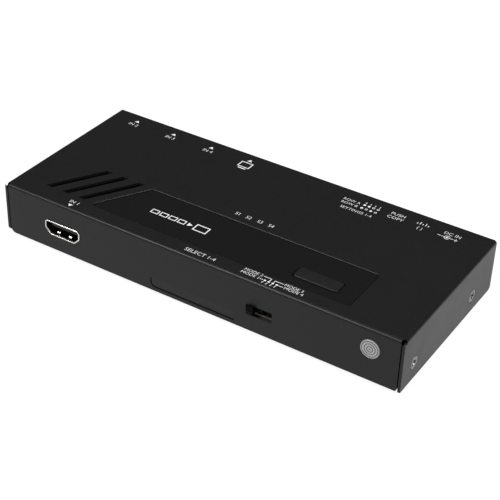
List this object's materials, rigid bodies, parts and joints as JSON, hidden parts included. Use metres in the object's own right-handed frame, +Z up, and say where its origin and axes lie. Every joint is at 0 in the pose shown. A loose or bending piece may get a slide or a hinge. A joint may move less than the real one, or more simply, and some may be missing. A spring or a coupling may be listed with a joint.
{
  "type": "video switch",
  "caption": "Slim black sheet-steel video switch box with a select button in a recessed top panel, a slide switch and sockets front and rear",
  "frame": {"origin": "on the surface the box stands on, below the middle of the case", "axes": "+X along the case to the right seen from the front, +Y to the back, +Z up"},
  "size_m": [0.16, 0.071, 0.0216],
  "materials": {
    "case_paint": "fine satin black powder coat",
    "overlay_film": "dark satin printed film",
    "label_film": "blank silver-grey film",
    "foot_rubber": "matt black rubber",
    "bright_screw": "bright zinc",
    "plated_steel": "tin plated",
    "board_green": "green solder mask",
    "socket_shell": "bright nickel",
    "black_plastic": "moulded black",
    "gold_contact": "gold flash",
    "brown_insulator": "brown laminate",
    "tin_lead": "tin plated",
    "knob_plastic": "moulded black",
    "button_plastic": "fine satin black",
    "window_plastic": "frosted clear with fine rings",
    "chip_black": "moulded epoxy",
    "led_resin": "milky resin",
    "clear_plastic": "clear",
    "sink_aluminium": "anodised",
    "can_aluminium": "bright can"
  },
  "bodies": {
    "case": {"base_pan": "case_paint", "board_screws": "plated_steel", "board_standoffs": "plated_steel", "capacitors": "can_aluminium", "control_chip": "chip_black", "copy_switch_body": "black_plastic", "crystal": "can_aluminium", "dc_jack_body": "black_plastic", "dc_jack_pin": "plated_steel", "dc_jack_spring": "plated_steel", "foot_front_left": "foot_rubber", "foot_front_right": "foot_rubber", "foot_rear_left": "foot_rubber", "foot_rear_right": "foot_rubber", "heat_sink": "sink_aluminium", "inductor": "chip_black", "ir_receiver": "chip_black", "light_guide": "clear_plastic", "main_board": "board_green", "mode_switch_base": "brown_insulator", "mode_switch_frame": "plated_steel", "mode_switch_terminals": "tin_lead", "overlay_label": "overlay_film", "rating_label": "label_film", "select_switch_body": "black_plastic", "serial_jack_body": "black_plastic", "serial_jack_bushing": "plated_steel", "settings_switch_base": "brown_insulator", "settings_switch_frame": "plated_steel", "settings_switch_terminals": "tin_lead", "side_screws": "bright_screw", "status_led_1": "led_resin", "status_led_2": "led_resin", "status_led_3": "led_resin", "status_led_4": "led_resin", "status_lens": "window_plastic", "switch_chip": "chip_black", "top_cover": "case_paint", "video_in_1_contacts": "gold_contact", "video_in_1_shell": "socket_shell", "video_in_1_tongue": "black_plastic", "video_in_2_contacts": "gold_contact", "video_in_2_shell": "socket_shell", "video_in_2_tongue": "black_plastic", "video_in_3_contacts": "gold_contact", "video_in_3_shell": "socket_shell", "video_in_3_tongue": "black_plastic", "video_in_4_contacts": "gold_contact", "video_in_4_shell": "socket_shell", "video_in_4_tongue": "black_plastic", "video_out_contacts": "gold_contact", "video_out_shell": "socket_shell", "video_out_tongue": "black_plastic"},
    "select_key": {"select_button": "button_plastic", "select_switch_plunger": "button_plastic"},
    "mode_slider": {"mode_switch_knob": "knob_plastic"},
    "settings_slider": {"settings_switch_knob": "knob_plastic"},
    "copy_key": {"copy_button": "button_plastic"}
  },
  "joints": [
    {"name": "select_press", "type": "slide", "parent": "case", "child": "select_key", "axis": [0, 0, -1], "range_m": [0, 0.0005], "stiffness_N_per_m": 1500, "springref_m": -0.0004},
    {"name": "mode_slide", "type": "slide", "parent": "case", "child": "mode_slider", "axis": [1, 0, 0], "range_m": [0, 0.006]},
    {"name": "settings_slide", "type": "slide", "parent": "case", "child": "settings_slider", "axis": [-1, 0, 0], "range_m": [0, 0.006]},
    {"name": "copy_press", "type": "slide", "parent": "case", "child": "copy_key", "axis": [0, -1, 0], "range_m": [0, 0.0004], "stiffness_N_per_m": 1500, "springref_m": -0.0004}
  ]
}
